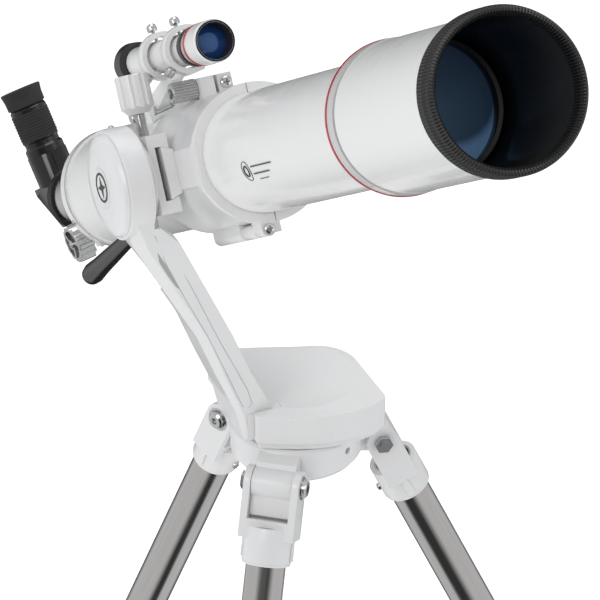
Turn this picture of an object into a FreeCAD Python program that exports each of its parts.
import FreeCAD, Part
import Sketcher
import math
import os

V = FreeCAD.Vector
doc = FreeCAD.newDocument("TelescopeOnTripod")
sheet = doc.addObject("Spreadsheet::Sheet", "Dims")
parts = {}
group_sizes = {}


class Dim:
    """A length that carries its value and the spreadsheet expression behind it."""

    def __init__(self, value, text):
        self.value = value
        self.text = text

    def __add__(self, other):
        other = dim(other)
        return Dim(self.value + other.value, "(%s + %s)" % (self.text, other.text))

    def __sub__(self, other):
        other = dim(other)
        return Dim(self.value - other.value, "(%s - %s)" % (self.text, other.text))

    def __mul__(self, other):
        other = dim(other)
        return Dim(self.value * other.value, "(%s * %s)" % (self.text, other.text))

    def __neg__(self):
        return Dim(-self.value, "(0 - %s)" % self.text)


def dim(value):
    if isinstance(value, Dim):
        return value
    if isinstance(value, str):
        return named[value]
    return Dim(float(value), "%.6f" % value)


# ---------------------------------------------------------------- dimensions
groups = {
    "tripod head and legs": dict(
        pin_height=830, pin_circle=70.2, leg_incline=24.6, leg_turn=-38.3,
        head_rad=56, head_low=-8, head_top=24, tongue_half=17.5, tongue_rad=13,
        pin_rad=4, pin_play=0.04, ear_inner=17.9, ear_outer=24, ear_rad=14,
        socket_half=21, socket_top=-30, socket_end=-66, bolt_head_rad=8,
        bolt_head_thick=5, upper_rad=17, upper_bore=15.4, upper_end=-450,
        clamp_rad=23, clamp_top=-436, clamp_step=-451, clamp_end=-486,
        lower_rad=14, lower_bore=12.6, lower_top=-300, lower_play=0.05,
        boot_rad=19, stem_rad=4, knob_rad=13,
        knob_thick=14),
    "turntable and arm": dict(
        plate_low=33, plate_top=60, skirt_low=25.9, bearing_top=25.5,
        spindle_rad=10, spindle_play=0.05, arm_front=-42, arm_back=32,
        drum_rad=46, drum_in=82, drum_out=103, cap_out=111, cap_flat=29,
        shaft_rad=8, shaft_play=0.04),
    "altitude axis and saddle": dict(
        alt_rise=292, tube_side=-62, rest_pitch=33.4, hub_rad=36, hub_out=80,
        hub_in=69.5, bar_out=65, bar_in=55, bar_half=22, saddle_rear=-38,
        saddle_front=30, jaw_half=33, rod_rad=4.2, rod_side=-62, rod_along=-12,
        clamp_knob_rad=14),
    "optical tube": dict(
        tube_rad=50, tube_bore=48, tube_rear=-284, tube_front=452, ring_rad=56,
        ring_rear=-36, ring_front=86, ring_play=0.05,
        ring_bolt_rise=63, ring_bolt_along=2, shield_rad=60.2,
        shield_bore=58.2, shield_rear=418, shield_front=640, red_rad=61.7,
        cell_rad=57.2, lens_rad=52.5, lens_clear=51, rim_rad=64.6,
        rim_bore=56.8, rim_front=650, rear_cell_rad=51.5, rear_cell_end=-300,
        roll=11),
    "focuser, diagonal and eyepiece": dict(
        focuser_rad=32, focuser_end=-356, draw_rad=25.4, draw_bore=23.2,
        draw_end=-402, draw_play=0.05, pinion_along=-328, pinion_drop=-31.6,
        pinion_pitch=5, pinion_shaft=3, focus_knob_rad=17, focus_knob_thick=15,
        adapter_rad=27, adapter_end=-414, nose_rad=15.85, nose_play=0.05,
        diag_along=-442, diag_half=18, holder_rad=18, holder_top=46,
        barrel_rad=15.85, eyepiece_rad=16.6, eyepiece_top=100),
    "finder": dict(
        finder_rise=98, finder_rad=13.5, finder_front=89, finder_rear=-126,
        finder_cell_rad=18, finder_clear=15.2),
}
named = {}
row = 1
for title, group in groups.items():
    sheet.set("A%d" % row, title)
    row += 1
    for alias, value in group.items():
        sheet.set("A%d" % row, alias.replace("_", " "))
        sheet.set("B%d" % row, str(value))
        sheet.setAlias("B%d" % row, alias)
        named[alias] = Dim(float(value), "Dims." + alias)
        row += 1
doc.recompute()


def val(name):
    return named[name].value


# ---------------------------------------------------------------- building blocks
def frame(origin, x_axis, z_axis):
    """Placement whose local x and z axes point along the given directions."""
    x_axis = V(*x_axis)
    z_axis = V(*z_axis)
    turn = FreeCAD.Rotation(x_axis, z_axis.cross(x_axis), z_axis, "ZXY")
    return FreeCAD.Placement(V(*origin), turn)


def body_at(label, place):
    body = doc.addObject("PartDesign::Body", label)
    body.Label = label
    body.Placement = place
    return body


def origin_plane(body, role):
    for item in body.Origin.OriginFeatures:
        if item.Role == role:
            return item
    raise ValueError(role)


def bind(target, prop, value):
    value = dim(value)
    setattr(target, prop, value.value)
    target.setExpression(prop, value.text)


def sketch_on(body, role, name, lift=0.0):
    sketch = body.newObject("Sketcher::SketchObject", name)
    sketch.AttachmentSupport = [(origin_plane(body, role), "")]
    sketch.MapMode = "FlatFace"
    lift = dim(lift)
    sketch.AttachmentOffset = FreeCAD.Placement(V(0, 0, lift.value), FreeCAD.Rotation())
    sketch.setExpression("AttachmentOffset.Base.z", lift.text)
    return sketch


def pin_point(sketch, geo, end, x, y):
    """Fix one sketch point at (x, y), tied to the spreadsheet."""
    for axis, kind, value in ((-2, "DistanceX", dim(x)), (-1, "DistanceY", dim(y))):
        if value.value == 0:
            sketch.addConstraint(Sketcher.Constraint("PointOnObject", geo, end, axis))
            continue
        rule = sketch.addConstraint(Sketcher.Constraint(kind, -1, 1, geo, end, value.value))
        sketch.setExpression("Constraints[%d]" % rule, value.text)


def polygon(sketch, points):
    values = [(dim(x), dim(y)) for x, y in points]
    count = len(values)
    for i in range(count):
        a = values[i]
        b = values[(i + 1) % count]
        start = V(a[0].value, a[1].value, 0)
        end = V(b[0].value, b[1].value, 0)
        sketch.addGeometry(Part.LineSegment(start, end), False)
    for i in range(count):
        after = (i + 1) % count
        sketch.addConstraint(Sketcher.Constraint("Coincident", i, 2, after, 1))
    for i, (x, y) in enumerate(values):
        pin_point(sketch, i, 1, x, y)


def circle(sketch, x, y, radius):
    radius = dim(radius)
    centre = V(dim(x).value, dim(y).value, 0)
    geo = sketch.addGeometry(Part.Circle(centre, V(0, 0, 1), radius.value), False)
    pin_point(sketch, geo, 3, x, y)
    rule = sketch.addConstraint(Sketcher.Constraint("Radius", geo, radius.value))
    sketch.setExpression("Constraints[%d]" % rule, radius.text)


def keep(label, item):
    parts[label] = item
    return item


def revolved(label, place, profile):
    """Solid of revolution about local z from (radius, height) points."""
    body = body_at(label, place)
    sketch = sketch_on(body, "XZ_Plane", label + "_profile")
    polygon(sketch, profile)
    turn = body.newObject("PartDesign::Revolution", label + "_turn")
    turn.Profile = sketch
    turn.ReferenceAxis = (sketch, ["V_Axis"])
    turn.Angle = 360
    return keep(label, body)


def tube(label, place, outer, bore, start, end):
    return revolved(label, place, [(bore, start), (outer, start), (outer, end), (bore, end)])


def rod(label, place, radius, start, end):
    return revolved(label, place, [(0, start), (radius, start), (radius, end), (0, end)])


def extruded(label, place, outline, start, length):
    body = body_at(label, place)
    sketch = sketch_on(body, "XY_Plane", label + "_outline", start)
    polygon(sketch, outline)
    pad = body.newObject("PartDesign::Pad", label + "_pad")
    pad.Profile = sketch
    bind(pad, "Length", length)
    return keep(label, body)


def fluted(label, place, radius, start, length, flutes, depth, cut=3.0):
    """Grip knob: a disc with evenly spaced round flutes and broken edges."""
    body = body_at(label, place)
    disc = sketch_on(body, "XY_Plane", label + "_disc", start)
    circle(disc, 0, 0, radius)
    pad = body.newObject("PartDesign::Pad", label + "_pad")
    pad.Profile = disc
    bind(pad, "Length", length)
    doc.recompute()
    edge = body.newObject("PartDesign::Chamfer", label + "_edge")
    edge.Base = (pad, ["Edge1", "Edge3"])
    edge.Size = 1.2
    notch = sketch_on(body, "XY_Plane", label + "_notch", dim(start) - 1)
    circle(notch, dim(radius) + cut - depth, 0, cut)
    pocket = body.newObject("PartDesign::Pocket", label + "_flute")
    pocket.Profile = notch
    pocket.Reversed = True
    bind(pocket, "Length", dim(length) + 2)
    body.Tip = pocket
    doc.recompute()
    ring = body.newObject("PartDesign::PolarPattern", label + "_flutes")
    ring.Originals = [pocket]
    ring.Axis = (notch, ["N_Axis"])
    ring.Angle = 360
    ring.Occurrences = flutes
    body.Tip = ring
    return keep(label, body)


def solid_box(name, low, high):
    """Box between two corners, each side tied to the spreadsheet."""
    item = doc.addObject("Part::Box", name)
    for prop, axis, a, b in zip(("Length", "Width", "Height"), "xyz", low, high):
        a = dim(a)
        bind(item, prop, dim(b) - a)
        setattr(item.Placement.Base, axis, a.value)
        item.setExpression("Placement.Base.%s" % axis, a.text)
    return item


def solid_rod(name, radius, length, place):
    item = doc.addObject("Part::Cylinder", name)
    bind(item, "Radius", radius)
    bind(item, "Height", length)
    item.Placement = place
    return item


def along(axis, x=0.0, y=0.0, z=0.0):
    """Placement at a point with local z along +x, +y or +z."""
    turn = {"x": FreeCAD.Rotation(V(0, 1, 0), 90), "y": FreeCAD.Rotation(V(1, 0, 0), -90),
            "z": FreeCAD.Rotation()}[axis]
    return FreeCAD.Placement(V(x, y, z), turn)


def fused(name, items):
    if len(items) == 1:
        return items[0]
    union = doc.addObject("Part::MultiFuse", name)
    union.Shapes = items
    union.Refine = True
    return union


def shaped(label, place, adds, cuts=()):
    """Union of solids minus cutters, named and placed as one piece."""
    base = fused(label + "_union", list(adds))
    if cuts:
        tool = fused(label + "_cutters", list(cuts))
        result = doc.addObject("Part::Cut", label)
        result.Base = base
        result.Tool = tool
        result.Refine = True
    else:
        result = base
    result.Label = label
    result.Placement = place
    return keep(label, result)


def helper(item):
    """Piece used only as an ingredient of a boolean."""
    for label in [key for key, value in parts.items() if value is item]:
        del parts[label]
    item.Placement = FreeCAD.Placement()
    return item


def grouped(label, members):
    """Identical fasteners kept together as separate solids of one node."""
    group = doc.addObject("Part::Compound", label)
    group.Links = [parts.pop(member) for member in members]
    group.Label = label
    group_sizes[label] = len(members)
    return keep(label, group)


# ---------------------------------------------------------------- frames
pins_z = val("pin_height")
world = FreeCAD.Placement(V(0, 0, pins_z), FreeCAD.Rotation())
pitch = math.radians(val("rest_pitch"))
tube_dir = (0, -math.cos(pitch), math.sin(pitch))
normal_dir = (0, math.sin(pitch), math.cos(pitch))
alt_point = (val("tube_side"), 0, pins_z + val("alt_rise"))
optical = frame(alt_point, (1, 0, 0), tube_dir)
roll = FreeCAD.Rotation(V(0, 0, 1), val("roll"))
rolled = optical.multiply(FreeCAD.Placement(V(0, 0, 0), roll))
outward = frame(alt_point, (0, 1, 0), (-1, 0, 0))


def local(parent, origin, x_axis, z_axis):
    return parent.multiply(frame(origin, x_axis, z_axis))


# ---------------------------------------------------------------- tripod head
head_disc = helper(revolved("head_disc", world, [
    (dim("spindle_rad") + "spindle_play", "head_low"), (dim("head_rad") - 4, "head_low"),
    ("head_rad", dim("head_low") + 5), ("head_rad", dim("head_top") - 3),
    (dim("head_rad") - 3, "head_top"), (dim("spindle_rad") + "spindle_play", "head_top")]))
head_adds = [head_disc]
head_cuts = []
leg_places = []
for k in range(3):
    turn = math.radians(val("leg_turn") + 120 * k)
    radial = V(math.sin(turn), -math.cos(turn), 0)
    side = V(math.cos(turn), math.sin(turn), 0)
    lug = extruded("tongue_%d" % (k + 1), world, [
        (36, dim("head_low") + 2), (62, -10), (70, -4), (70, 6), (64, 16), (54, 20), (36, 22)],
        -dim("tongue_half"), dim("tongue_half") * 2)
    lug = helper(lug)
    upright = FreeCAD.Placement(
        V(0, 0, 0), FreeCAD.Rotation(radial, V(0, 0, 1), radial.cross(V(0, 0, 1)), "ZXY"))
    lug.Placement = upright
    head_adds.append(lug)
    slope = math.radians(val("leg_incline"))
    fall = V(math.sin(slope), -math.cos(slope), 0)
    across = V(math.cos(slope), math.sin(slope), 0) * 7
    knee = V(val("pin_circle"), 0, 0)
    tail_points = [knee - across, knee + fall * 27 - across, knee + fall * 27 + across, knee + across]
    tail = helper(extruded("tongue_tail_%d" % (k + 1), world, [(p.x, p.y) for p in tail_points],
                           -dim("tongue_half"), dim("tongue_half") * 2))
    tail.Placement = upright
    head_adds.append(tail)
    centre = radial * val("pin_circle")
    start = centre - side * val("tongue_half")
    barrel = FreeCAD.Placement(start, FreeCAD.Rotation(V(0, 0, 1), side))
    head_adds.append(solid_rod("tongue_barrel_%d" % (k + 1), "tongue_rad", dim("tongue_half") * 2, barrel))
    bore = FreeCAD.Placement(centre - side * 30, FreeCAD.Rotation(V(0, 0, 1), side))
    head_cuts.append(solid_rod("tongue_bore_%d" % (k + 1), dim("pin_rad") + "pin_play", 60, bore))
    up_leg = V(0, 0, 1) * math.cos(slope) - radial * math.sin(slope)
    leg_places.append(frame(tuple(centre + V(0, 0, pins_z)), tuple(side), tuple(up_leg)))
lock_dir = V(math.sin(math.radians(28)), -math.cos(math.radians(28)), 0)
lock_spot = FreeCAD.Placement(lock_dir * 40 + V(0, 0, 12), FreeCAD.Rotation(V(0, 0, 1), lock_dir))
head_cuts.append(solid_rod("head_lock_hole", 3.2, 30, lock_spot))
shaped("tripod_head", world, head_adds, head_cuts)
tube("azimuth_bearing", world, 48, 22, "head_top", "bearing_top")

# ---------------------------------------------------------------- legs
foot_drop = pins_z / math.cos(math.radians(val("leg_incline")))
for k, place in enumerate(leg_places):
    tag = "leg_%d_" % (k + 1)
    ears = []
    for hand in (-1, 1):
        low = dim("ear_inner") if hand > 0 else -dim("ear_outer")
        thick = dim("ear_outer") - "ear_inner"
        at = along("x", low.value, 0, 0)
        ears.append(solid_rod(tag + "ear_round_%d" % (hand + 1), "ear_rad", thick, at))
        ears.append(solid_box(tag + "ear_web_%d" % (hand + 1), (low, -14, -34), (low + thick, 14, 0)))
    block = solid_rod(tag + "block", "socket_half", dim("socket_top") - 6 - "socket_end",
                      along("z", 0, 0, -66))
    cheeks = solid_box(tag + "cheeks", (-dim("ear_outer"), -14, -46), ("ear_outer", 14, "socket_top"))
    cuts = [solid_rod(tag + "socket_bore", "upper_rad", 32, along("z", 0, 0, -68)),
            solid_rod(tag + "ear_bore", dim("pin_rad") + 0.03, 60, along("x", -30, 0, 0))]
    shaped(tag + "socket", place, ears + [block, cheeks], cuts)
    pin_place = place.multiply(along("x"))
    revolved(tag + "pivot_bolt", pin_place, [
        (0, -dim("ear_outer") - 5), ("pin_rad", -dim("ear_outer") - 5), ("pin_rad", "ear_outer"),
        ("bolt_head_rad", "ear_outer"), ("bolt_head_rad", dim("ear_outer") + 3.5),
        (dim("bolt_head_rad") - 1.5, dim("ear_outer") + "bolt_head_thick"),
        (3, dim("ear_outer") + "bolt_head_thick"), (3, dim("ear_outer") + 2), (0, dim("ear_outer") + 2)])
    hexagon = [(8 * math.cos(math.radians(60 * i)), 8 * math.sin(math.radians(60 * i))) for i in range(6)]
    nut = helper(extruded(tag + "nut_blank", world, hexagon, -dim("ear_outer") - 4.2, 4.2))
    nut_hole = solid_rod(tag + "nut_bore", "pin_rad", 12, along("z", 0, 0, -32))
    shaped(tag + "pivot_nut", pin_place, [nut], [nut_hole])
    tube(tag + "upper_tube", place, "upper_rad", "upper_bore", "upper_end", -36)
    collar = helper(revolved(tag + "collar_blank", world, [
        (dim("lower_rad") + "lower_play", "clamp_end"), (dim("clamp_rad") - 3, "clamp_end"),
        ("clamp_rad", dim("clamp_end") + 4), ("clamp_rad", dim("clamp_top") - 4),
        (dim("clamp_rad") - 3, "clamp_top"), ("upper_rad", "clamp_top"),
        ("upper_rad", "clamp_step"), (dim("lower_rad") + "lower_play", "clamp_step")]))
    boss = solid_rod(tag + "boss", 9, 18, along("y", 0, -34, -469))
    boss_bore = solid_rod(tag + "boss_bore", dim("stem_rad") + 0.05, 30, along("y", 0, -40, -469))
    slide_bore = solid_rod(tag + "slide_bore", dim("lower_rad") + "lower_play", 60, along("z", 0, 0, -500))
    shaped(tag + "clamp", place, [collar, boss], [boss_bore, slide_bore])
    screw_place = place.multiply(frame((0, 0, -469), (1, 0, 0), (0, -1, 0)))
    knob = helper(fluted(tag + "knob_blank", world, "knob_rad", 35, "knob_thick", 7, 2.4, 4.5))
    stem = solid_rod(tag + "stem", "stem_rad", 22, along("z", 0, 0, 14.4))
    shaped(tag + "clamp_screw", screw_place, [knob, stem])
    tube(tag + "lower_tube", place, "lower_rad", "lower_bore", -foot_drop + 22, "lower_top")
    boot = helper(revolved(tag + "boot_blank", world, [
        (0, -foot_drop - 14), ("boot_rad", -foot_drop - 14), ("boot_rad", -foot_drop + 6),
        (dim("boot_rad") - 2.5, -foot_drop + 30), (dim("boot_rad") - 2.5, -foot_drop + 34),
        ("lower_rad", -foot_drop + 34), ("lower_rad", -foot_drop + 22), (0, -foot_drop + 22)]))
    floor_cut = solid_box(tag + "sole_cut", (-60, -60, -60), (60, 60, 0))
    toe = place.multVec(V(0, 0, -foot_drop))
    level = FreeCAD.Placement(V(toe.x, toe.y, 0), FreeCAD.Rotation())
    sole = doc.addObject("Part::Compound", tag + "sole_tool")
    sole.Links = [floor_cut]
    sole.Placement = place.inverse().multiply(level)
    shaped(tag + "foot", place, [boot], [sole])

grouped("leg_pivot_fasteners", ["leg_%d_pivot_%s" % (number, half)
                                for half in ("bolt", "nut") for number in (1, 2, 3)])

# ---------------------------------------------------------------- turntable
outline = [(-52, -38), (-36, -47), (-22, -53.5), (-8, -58.8), (7, -62), (22, -63.2), (37, -62.4),
           (50, -59.4), (60, -54), (60, 36), (-52, 77)]


def corner_edges(shape, x, y):
    """Names of the upright edges at one corner."""
    names = []
    for i, edge in enumerate(shape.Edges):
        ends = [vertex.Point for vertex in edge.Vertexes]
        if all(math.hypot(end.x - x, end.y - y) < 0.5 for end in ends) and len(ends) == 2:
            names.append("Edge%d" % (i + 1))
    return names


def rounded_plate(label, points, low, height, corners):
    """Flat plate whose outline corners are rounded by the given radii."""
    body = body_at(label, world)
    sketch = sketch_on(body, "XY_Plane", label + "_outline", low)
    polygon(sketch, points)
    last = body.newObject("PartDesign::Pad", label + "_pad")
    last.Profile = sketch
    bind(last, "Length", height)
    doc.recompute()
    for index, radius in corners.items():
        rounding = body.newObject("PartDesign::Fillet", "%s_round_%d" % (label, index))
        rounding.Base = (last, corner_edges(last.Shape, *points[index]))
        rounding.Radius = radius
        doc.recompute()
        last = rounding
    return helper(keep(label, body))


plate_item = rounded_plate("plate_blank", outline, "plate_low", dim("plate_top") - "plate_low",
                           {9: 36, 8: 8, 10: 6})
spindle_hole = solid_rod("plate_bore", "spindle_rad", 30, along("z", 0, 0, 20))
dish = doc.addObject("Part::Sphere", "plate_dish")
dish.Radius = 420
dish.Placement.Base = V(4, 6, 420 + 57)
foot_slot = solid_box("arm_slot", (-70, -32.3, 20), (-26.7, 32.3, 70))
skirt_points = [(x * 0.93, y * 0.93) for x, y in outline]
skirt_item = rounded_plate("skirt_blank", skirt_points, "skirt_low", dim("plate_low") - "skirt_low",
                           {9: 34, 8: 7, 10: 5})
skirt_hole = solid_rod("skirt_bore", 16, 30, along("z", 0, 0, 20))
shaped("base_plate", world, [plate_item, skirt_item], [spindle_hole, skirt_hole, dish, foot_slot])
hex_big = [(17 * math.cos(math.radians(60 * i)), 17 * math.sin(math.radians(60 * i))) for i in range(6)]
bolt_head = helper(extruded("azimuth_bolt_head", world, hex_big, -18.6, 8))
bolt_flange = solid_rod("azimuth_bolt_flange", 24, 2.2, along("z", 0, 0, -10.6))
bolt_shank = solid_rod("azimuth_bolt_shank", "spindle_rad", 56, along("z", 0, 0, -12))
shaped("azimuth_bolt", world, [bolt_head, bolt_flange, bolt_shank])

# ---------------------------------------------------------------- arm
arm = body_at("arm_beam", world)
sections = [
    (33, -60, -29, -31.5, 31.5, 4), (62, -67, -36, -31.5, 31.5, 5),
    (101, -84, -55, -33, 30, 6), (145, -102, -73, -36, 29, 8),
    (250, -160, -122, "arm_front", "arm_back", 10), (276, -165, -146, "arm_front", "arm_back", 6)]
arm_sketches = []
for i, (height, left, right, front, back, bevel) in enumerate(sections):
    flat = sketch_on(arm, "XY_Plane", "arm_section_%d" % (i + 1), height)
    polygon(flat, [(dim(left) + bevel, front), (right, front), (right, back),
                   (dim(left) + bevel, back), (left, dim(back) - bevel), (left, dim(front) + bevel)])
    arm_sketches.append(flat)
loft = arm.newObject("PartDesign::AdditiveLoft", "arm_loft")
loft.Profile = arm_sketches[0]
loft.Sections = arm_sketches[1:]
loft.Ruled = True
doc.recompute()
arm_item = helper(keep("arm_beam", arm))
arm_foot = solid_box("arm_foot_block", (-58, -32, "plate_low"), (-27, 32, dim("plate_top") - 0.4))
axis_z = val("alt_rise")
x_tube = val("tube_side")
drum_place = FreeCAD.Placement(V(x_tube - val("drum_out"), 0, axis_z), FreeCAD.Rotation(V(0, 1, 0), 90))
drum_body = solid_rod("arm_drum", "drum_rad", dim("drum_out") - "drum_in", drum_place)
handle_relief = solid_box("arm_handle_relief", (x_tube - val("drum_in") + 0.5, -22, 168), (0, 60, 300))
hub_space = solid_rod("arm_hub_space", 48, 60, along("x", x_tube - val("drum_in"), 0, axis_z))
shaft_bore = solid_rod("arm_shaft_bore", dim("shaft_rad") + "shaft_play", 40,
                       along("x", x_tube - 110, 0, axis_z))
shaped("arm", world, [arm_item, arm_foot, drum_body], [hub_space, handle_relief, shaft_bore])
cap_profile = [
    (0, "drum_out"), (43.4, "drum_out"), (43.4, dim("drum_out") + 1.2), (41.5, dim("drum_out") + 4.2),
    (37, dim("cap_out") - 1.6), ("cap_flat", "cap_out"), (18, dim("cap_out") + 0.2),
    (17.2, dim("cap_out") - 0.4), (0, dim("cap_out") - 0.4)]
revolved("drum_cap", outward, cap_profile)

# ---------------------------------------------------------------- altitude axis and saddle
rod("altitude_shaft", outward, "shaft_rad", "hub_in", dim("drum_out") - 1)
tube("altitude_hub", outward, "hub_rad", "shaft_rad", dim("hub_in") + 6, "hub_out")
floor_plate = solid_box("saddle_floor", (-dim("hub_in") - 6, -dim("jaw_half"), "saddle_rear"),
                        (-dim("hub_in"), "jaw_half", "saddle_front"))
jaws = []
for hand in (-1, 1):
    edge = dim("bar_half") + 0.4
    points = [(-dim("hub_in"), edge), (-dim("bar_out") - 0.4, edge), (-dim("bar_in") - 2.5, edge - 2.6),
              (-dim("bar_in") - 2.5, "jaw_half"), (-dim("hub_in"), "jaw_half")]
    if hand < 0:
        points = [(x, -dim(y)) for x, y in points]
    jaw = helper(extruded("jaw_%d" % (hand + 1), world, points, "saddle_rear",
                          dim("saddle_front") - "saddle_rear"))
    jaws.append(jaw)
rod_bore = solid_rod("saddle_rod_bore", dim("rod_rad") + 0.05, 30,
                     along("y", val("rod_side"), 15, val("rod_along")))
shaft_room = solid_rod("saddle_shaft_room", "shaft_rad", 20, along("x", -80, 0, 0))
handle_boss = solid_box("handle_boss", (-79.5, -46, -46), (-62, -28, -24))
round_saddle = doc.addObject("Part::Common", "saddle_round")
round_saddle.Base = fused("saddle_square", [floor_plate] + jaws)
round_saddle.Tool = solid_rod("saddle_envelope", 46, 40, along("x", -90, 0, 0))
shaped("saddle", optical, [round_saddle, handle_boss], [rod_bore, shaft_room])
knob_place = local(optical, (val("rod_side"), 0, val("rod_along")), (1, 0, 0), (0, 1, 0))
grip = helper(fluted("saddle_knob_blank", world, "clamp_knob_rad", 58, 28, 10, 1.8, 2.6))
skirt_ring = helper(revolved("saddle_knob_base", world, [
    (0, 53), (9, 53), ("clamp_knob_rad", 59), (0, 59)]))
clamp_rod = solid_rod("saddle_clamp_rod", "rod_rad", 40, along("z", 0, 0, 22.6))
shaped("saddle_clamp_screw", knob_place, [grip, skirt_ring, clamp_rod])
droop = math.radians(11)
handle_place = local(optical, (-70.5, -34, -24), (1, 0, 0), (0, -math.sin(droop), -math.cos(droop)))
revolved("pan_handle", handle_place, [
    (0, 23.7), (6, 23.7), (6.6, 60), (8.4, 150), (9.4, 174), (8.6, 182), (5, 186), (0, 187)])

# ---------------------------------------------------------------- ring and dovetail
bar_points = [(-dim("bar_out"), -dim("bar_half")), (-dim("bar_out"), "bar_half"),
              (-dim("bar_in"), dim("bar_half") - 3.5), (-dim("bar_in"), -dim("bar_half") + 3.5)]
extruded("dovetail_bar", optical, bar_points, -72, 104)
ring_bore = dim("tube_rad") + "ring_play"
ring_profile = [
    (ring_bore, "ring_rear"), (dim("ring_rad") + 2, "ring_rear"),
    (dim("ring_rad") + 2, dim("ring_rear") + 10),
    ("ring_rad", dim("ring_rear") + 14), ("ring_rad", dim("ring_front") - 14),
    (dim("ring_rad") + 2, dim("ring_front") - 10), (dim("ring_rad") + 2, "ring_front"),
    (ring_bore, "ring_front")]
bolt_y = val("ring_bolt_rise")
bolt_z = val("ring_bolt_along")
pin_x, pin_y = -8, -62.6
for half, sign in (("fixed", -1), ("hinged", 1)):
    shell = helper(revolved("ring_shell_" + half, world, ring_profile))
    gap = 0.4 * sign
    away_low, away_high = (-90, gap) if sign > 0 else (gap, 90)
    away = solid_box("ring_away_" + half, (away_low, -90, -90), (away_high, 90, 120))
    adds = [shell]
    if sign < 0:
        adds.append(solid_box("ring_foot", (-dim("bar_in"), -16, dim("ring_rear") + 4),
                              (-46, 16, dim("ring_front") - 10)))
    trimmed = doc.addObject("Part::Cut", "ring_trim_" + half)
    trimmed.Base = fused("ring_main_" + half, adds)
    trimmed.Tool = away
    inner, outer = (1.5, 14) if sign > 0 else (-14, -1.5)
    ear = solid_box("ring_ear_" + half, (inner, 51, bolt_z - 14), (outer, bolt_y + 8, bolt_z + 14))
    if sign > 0:
        spans = [(33, 66)]
        lug = (-8, -66.6, 8, -58.6)
    else:
        spans = [(dim("ring_rear") + 1, 32.6), (66.4, "ring_front")]
        lug = (-14, -63, -3, -54)
    hinge = []
    for i, (low, high) in enumerate(spans):
        barrel_at = along("z", pin_x, pin_y, dim(low).value)
        hinge.append(solid_rod("ring_barrel_%s_%d" % (half, i + 1), 6, dim(high) - low, barrel_at))
        hinge.append(solid_box("ring_lug_%s_%d" % (half, i + 1), (lug[0], lug[1], low),
                               (lug[2], lug[3], high)))
    if sign > 0:
        hinge.append(solid_box("ring_lug_root", (2, -66.6, 33), (10, -53, 66)))
    tools = [solid_box("ring_seat_" + half, (-66, -30, -60), (-dim("bar_in"), 30, 120)),
             solid_box("ring_slot_" + half, (-20 if sign < 0 else 0, 54, bolt_z - 3.3),
                       (0 if sign < 0 else 20, 90, bolt_z + 3.3)),
             solid_rod("ring_pin_bore_" + half, 3, 160, along("z", pin_x, pin_y, -60)),
             solid_rod("ring_clear_" + half, ring_bore, 200, along("z", 0, 0, -100))]
    if sign > 0:
        tools.append(solid_rod("ring_pivot_bore", 2.5, 60, along("z", 8, bolt_y, bolt_z - 30)))
    shaped("ring_" + half, optical, [trimmed, ear] + hinge, tools)
rod("ring_hinge_pin", local(optical, (pin_x, pin_y, 0), (1, 0, 0), (0, 0, 1)), 3, -12, 87)
bolt_place = local(optical, (8, bolt_y, bolt_z), (0, 0, 1), (-1, 0, 0))
eye = solid_rod("ring_bolt_eye", 5.4, 6, along("x", -3, 0, 0))
pivot = solid_rod("ring_bolt_pivot", 2.45, 30, along("x", -15, 0, 0))
shank = solid_rod("ring_bolt_shank", 2.8, 45, along("z", 0, 0, 2))
shaped("ring_clamp_bolt", bolt_place, [eye, pivot, shank])
grip = helper(fluted("ring_knob_blank", world, 8.8, 22.4, 22, 24, 0.7, 1.2))
shaped("ring_clamp_knob", bolt_place, [grip],
       [solid_rod("ring_knob_bore", 2.85, 40, along("z", 0, 0, 12))])

# ---------------------------------------------------------------- optical tube
tube("main_tube", optical, "tube_rad", "tube_bore", "tube_rear", "tube_front")
revolved("rear_cell", optical, [
    (34, "rear_cell_end"), (dim("rear_cell_rad") - 3, "rear_cell_end"),
    ("rear_cell_rad", dim("rear_cell_end") + 4), ("rear_cell_rad", "tube_rear"),
    ("tube_bore", "tube_rear"), ("tube_bore", dim("tube_rear") + 10), (44, dim("tube_rear") + 10),
    (44, dim("rear_cell_end") + 6), (34, dim("rear_cell_end") + 6)])
tube("red_ring", optical, "red_rad", "tube_rad", dim("shield_rear") - 3, "shield_rear")
revolved("dew_shield", optical, [
    ("tube_rad", "shield_rear"), (61.2, "shield_rear"), (61.2, 431), (59.4, 431), (59.4, 433),
    ("shield_rad", 433), ("shield_rad", "shield_front"), ("shield_bore", "shield_front"),
    ("shield_bore", 433), ("tube_rad", 433)])
revolved("lens_cell", optical, [
    ("tube_rad", 433), ("cell_rad", 433), ("cell_rad", 492), ("lens_clear", 492), (53, 487),
    ("lens_rad", 487), ("lens_rad", 470), (49, 470), (49, 453), ("tube_rad", 453)])
revolved("objective", optical, [
    (0, 468), (20, 468.6), (38, 470.4), ("lens_rad", 473), ("lens_rad", 480), (44, 482.6),
    (30, 484.6), (15, 485.8), (0, 486)])
revolved("front_rim", optical, [
    ("shield_rad", 622), (63.6, 623), ("rim_rad", 626), ("rim_rad", 636), (63.2, 639.4),
    (62.6, 640.4), (63.4, 641.4), ("rim_rad", 644), (63.6, 648), (61.4, "rim_front"), (59.4, 649.6),
    (57.6, 647), ("rim_bore", 643), ("rim_bore", 636), (58.2, 634.4), (58.2, 640.1), ("shield_rad", 640.1)])

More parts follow.
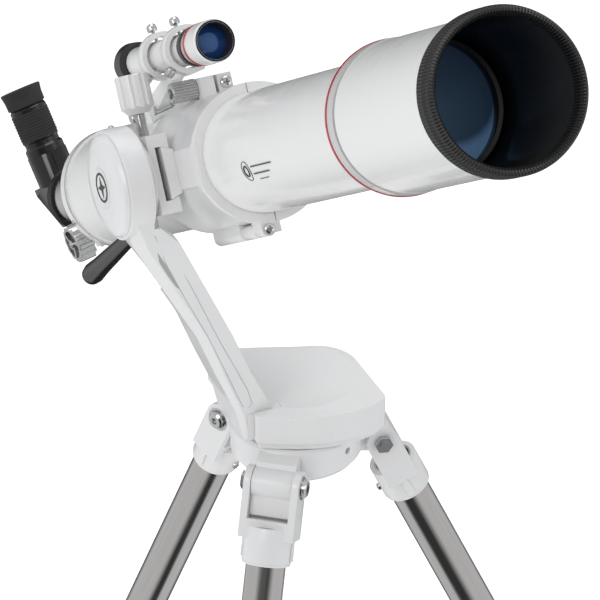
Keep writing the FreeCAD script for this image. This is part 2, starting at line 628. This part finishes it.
# ---------------------------------------------------------------- focuser
body_shell = helper(revolved("focuser_blank", world, [
    (dim("draw_rad") + "draw_play", "focuser_end"), (dim("focuser_rad") - 2, "focuser_end"),
    ("focuser_rad", dim("focuser_end") + 3), ("focuser_rad", -312), (43, -304), (43, "rear_cell_end"),
    (dim("draw_rad") + "draw_play", "rear_cell_end")]))
pinion_box = solid_box("pinion_box", (-22, -43, -346), (22, -24, -310))
pinion_y = val("pinion_drop")
pinion_z = val("pinion_along")
shaft_room = solid_rod("pinion_room", dim("pinion_shaft") + 0.05, 60, along("x", -30, pinion_y, pinion_z))
gear_room = solid_rod("gear_room", 6.4, 16, along("x", -8, pinion_y, pinion_z))
rack_room = solid_box("rack_room", (-4.4, -28.6, -430), (4.4, -20, -290))
draw_room = solid_rod("draw_room", dim("draw_rad") + "draw_play", 200, along("z", 0, 0, -430))
shaped("focuser_body", rolled, [body_shell, pinion_box], [shaft_room, gear_room, rack_room, draw_room])
draw = helper(tube("drawtube_blank", world, "draw_rad", "draw_bore", "draw_end", -288))
rack_teeth = [draw, solid_box("rack_bar", (-4, -26.8, -392), (4, -24.6, -296))]
pitch_step = math.pi * 2 * val("pinion_pitch") / 10
tooth_half = 0.45
for i in range(-20, 10):
    middle = pinion_z + pitch_step * (i + 0.5)
    rack_teeth.append(solid_box("rack_tooth_%d" % (i + 21), (-4, -27.9, middle - tooth_half),
                                (4, -26.4, middle + tooth_half)))
shaped("drawtube", rolled, rack_teeth)
pinion_place = local(rolled, (0, pinion_y, pinion_z), (0, 0, 1), (-1, 0, 0))
gear = helper(fluted("pinion_gear", world, 4.6, -6, 12, 10, 1.1, 0.9))
shaft = solid_rod("pinion_shaft", "pinion_shaft", 96, along("z", 0, 0, -48))
shaped("pinion", pinion_place, [gear, shaft])
for i, (hand, start) in enumerate(((1, 33), (-1, -48))):
    grip = helper(fluted("focus_knob_blank_%d" % (i + 1), world, "focus_knob_rad", start,
                         "focus_knob_thick", 12, 2.2, 3.2))
    face_at = 44 if hand > 0 else -49
    recess = solid_rod("focus_recess_%d" % (i + 1), 12.5, 5, along("z", 0, 0, face_at))
    hub = solid_rod("focus_hub_%d" % (i + 1), 4.5, 4.5, along("z", 0, 0, face_at if hand > 0 else -48.5))
    spokes = [hub]
    for j in range(3):
        bar = solid_box("focus_spoke_%d_%d" % (i + 1, j + 1), (0, -1.6, 0), (13.5, 1.6, 4))
        low = 44 if hand > 0 else -48
        bar.setExpression("Placement.Base.z", None)
        bar.Placement = FreeCAD.Placement(V(0, 0, low), FreeCAD.Rotation(V(0, 0, 1), 120 * j))
        spokes.append(bar)
    cupped = doc.addObject("Part::Cut", "focus_cup_%d" % (i + 1))
    cupped.Base = grip
    cupped.Tool = recess
    shaped("focus_knob_%d" % (i + 1), pinion_place, [cupped] + spokes,
           [solid_rod("focus_knob_bore_%d" % (i + 1), "pinion_shaft", 120, along("z", 0, 0, -60))])
grouped("focus_knobs", ["focus_knob_1", "focus_knob_2"])

# ---------------------------------------------------------------- diagonal and eyepiece
adapter = helper(revolved("adapter_blank", world, [
    (dim("nose_rad") + "nose_play", "adapter_end"), (dim("adapter_rad") - 2, "adapter_end"),
    ("adapter_rad", dim("adapter_end") + 2), ("adapter_rad", "draw_end"),
    ("draw_bore", "draw_end"), ("draw_bore", -390), (dim("nose_rad") + "nose_play", -390)]))
adapter_thread = doc.addObject("Part::Cylinder", "adapter_thread")
bind(adapter_thread, "Radius", 1.65)
bind(adapter_thread, "Height", 20)
adapter_thread.Placement = frame((0, 0, -408), (1, 0, 0), (0, -1, 0)).multiply(along("z", 0, 0, 12))
shaped("draw_adapter", rolled, [adapter], [adapter_thread])
revolved("adapter_screw", local(rolled, (0, 0, -408), (1, 0, 0), (0, -1, 0)), [
    (0, 16.3), (1.6, 16.3), (1.6, 29), (5, 29.4), (5, 36), (0, 36)])
d0 = val("diag_along")
half = val("diag_half")
prism = helper(extruded("diagonal_prism", world, [
    (d0 + 22, -half - 2), (d0 + 22, half), (d0 - half - 2, half), (d0 - half - 2, half - 6),
    (d0 + half - 4, -half - 2)], -dim("diag_half"), dim("diag_half") * 2))
prism.Placement = frame((0, 0, 0), (0, 0, 1), (-1, 0, 0))
nose_ring = solid_rod("diagonal_nose_ring", 17.6, 5, along("z", 0, 0, d0 + 22))
holder = solid_rod("diagonal_holder", "holder_rad", 32, along("y", 0, half - 4, d0))
nose_room = solid_rod("diagonal_nose_room", 13.8, 60, along("z", 0, 0, d0 - 2))
top_room = solid_rod("diagonal_top_room", dim("barrel_rad") + 0.05, 40, along("y", 0, 21, d0))
light_room = solid_rod("diagonal_light_room", 12.6, 40, along("y", 0, -4, d0))
shaped("diagonal_body", rolled, [prism, nose_ring, holder], [nose_room, light_room, top_room])
tube("diagonal_nose", rolled, "nose_rad", 13.8, d0 + 27.05, -393)
upward = local(rolled, (0, 0, d0), (1, 0, 0), (0, 1, 0))
revolved("eyepiece_body", upward, [
    (13, 22), ("barrel_rad", 22), ("barrel_rad", dim("holder_top") + 0.4), (17.4, dim("holder_top") + 0.4),
    (17.4, 52), (15.6, 54), (15.6, 58), ("eyepiece_rad", 59), ("eyepiece_rad", 88), (15.4, 90),
    (15.4, "eyepiece_top"), (13, "eyepiece_top")])
revolved("eyepiece_cup", upward, [
    (15.4, 90.2), (17.2, 91), (17.4, 99), (18.6, 106), (17.6, 106.6), (13.6, 101.4), (13, "eyepiece_top"),
    (15.4, "eyepiece_top")])

# ---------------------------------------------------------------- finder
sight = local(rolled, (0, val("finder_rise"), 0), (1, 0, 0), (0, 0, 1))
tube("finder_tube", sight, "finder_rad", 12.3, -104, 62)
revolved("finder_cell", sight, [
    (dim("finder_rad") + 0.05, 48), (16, 48), (16, 56), (16.9, 58),
    ("finder_cell_rad", 66), ("finder_cell_rad", 86),
    (dim("finder_cell_rad") - 1, "finder_front"), ("finder_clear", "finder_front"),
    ("finder_clear", 66), (dim("finder_rad") + 0.05, 66)])
revolved("finder_lens", sight, [(0, 67), ("finder_clear", 68), ("finder_clear", 72), (8, 74), (0, 74.6)])
revolved("finder_eyepiece", sight, [
    (8, -104), (9, -104), (9, -96), (12.3, -96), (12.3, -104.2), (15, -104.2), (18, -109),
    (18.6, -122), (17.4, "finder_rear"), (13, "finder_rear"), (12, -119), (8, -118)])
bracket_adds = []
bracket_cuts = [solid_rod("bracket_bore", 16.2, 140, along("z", 0, 0, -60))]
for i, low in enumerate((-52, 8)):
    bracket_adds.append(solid_rod("bracket_ring_%d" % (i + 1), 20.5, 12, along("z", 0, 0, low)))
bracket_adds.append(solid_box("bracket_bridge", (-7, -20.6, -52), (7, -16, 20)))
stem = helper(extruded("bracket_stem", world, [
    (-52, -17), (-30, -17), (-30, -20.6), (-100, -42), (-132, -42), (-132, -36)], -6, 12))
stem.Placement = frame((0, 0, 0), (0, 0, 1), (-1, 0, 0))
bracket_adds.append(stem)
for i, (low, spots) in enumerate(((-46, (90, 210, 330)), (14, (90, 210, 330)))):
    for j, spot in enumerate(spots):
        angle = math.radians(spot)
        out = (math.cos(angle), math.sin(angle), 0)
        screw_at = local(sight, (0, 0, low), (0, 0, 1), out)
        thread_at = FreeCAD.Placement(V(0, 0, low), FreeCAD.Rotation(V(0, 0, 1), V(*out)))
        bracket_cuts.append(solid_rod("bracket_thread_%d" % (3 * i + j + 1), 1.55, 30, thread_at))
        revolved("finder_screw_%d" % (3 * i + j + 1), screw_at, [
            (0, 13.6), (1.5, 13.6), (1.5, 21.6), (4, 22), (4.4, 24), (4, 27), (2.6, 28.4), (0, 28.8)])
foot = helper(extruded("bracket_foot", world, [(-9.4, -44.2), (9.4, -44.2), (7.4, -38), (-7.4, -38)],
                       -134, 34))
bracket_adds.append(foot)
shaped("finder_bracket", sight, bracket_adds, bracket_cuts)
grouped("finder_screws", ["finder_screw_%d" % number for number in range(1, 7)])
shoe_block = solid_box("shoe_block", (-15, 47, -140), (15, 61, -96))
shoe_slot = helper(extruded("shoe_slot", world, [
    (-9.8, 53.4), (9.8, 53.4), (7.6, 62), (-7.6, 62)], -150, 70))
shoe_seat = solid_rod("shoe_seat", "tube_rad", 60, along("z", 0, 0, -150))
shaped("finder_shoe", rolled, [shoe_block], [shoe_slot, shoe_seat])

# ---------------------------------------------------------------- recompute, check and write
doc.recompute()
problems = []
for item in doc.Objects:
    if any(flag in item.State for flag in ("Invalid", "Error")):
        problems.append(item.Name + " is " + ",".join(item.State))
for label, item in parts.items():
    if item.Shape.isNull() or not item.Shape.isValid():
        problems.append(label + " has a bad shape")
    elif item.Shape.Volume < 1:
        problems.append(label + " is empty")
    elif len(item.Shape.Solids) != group_sizes.get(label, 1):
        problems.append("%s has %d solids" % (label, len(item.Shape.Solids)))
if problems:
    raise RuntimeError("; ".join(problems))
os.makedirs("parts", exist_ok=True)
for label, item in parts.items():
    item.Shape.exportStep("parts/%s.step" % label)
print("wrote %d parts" % len(parts))
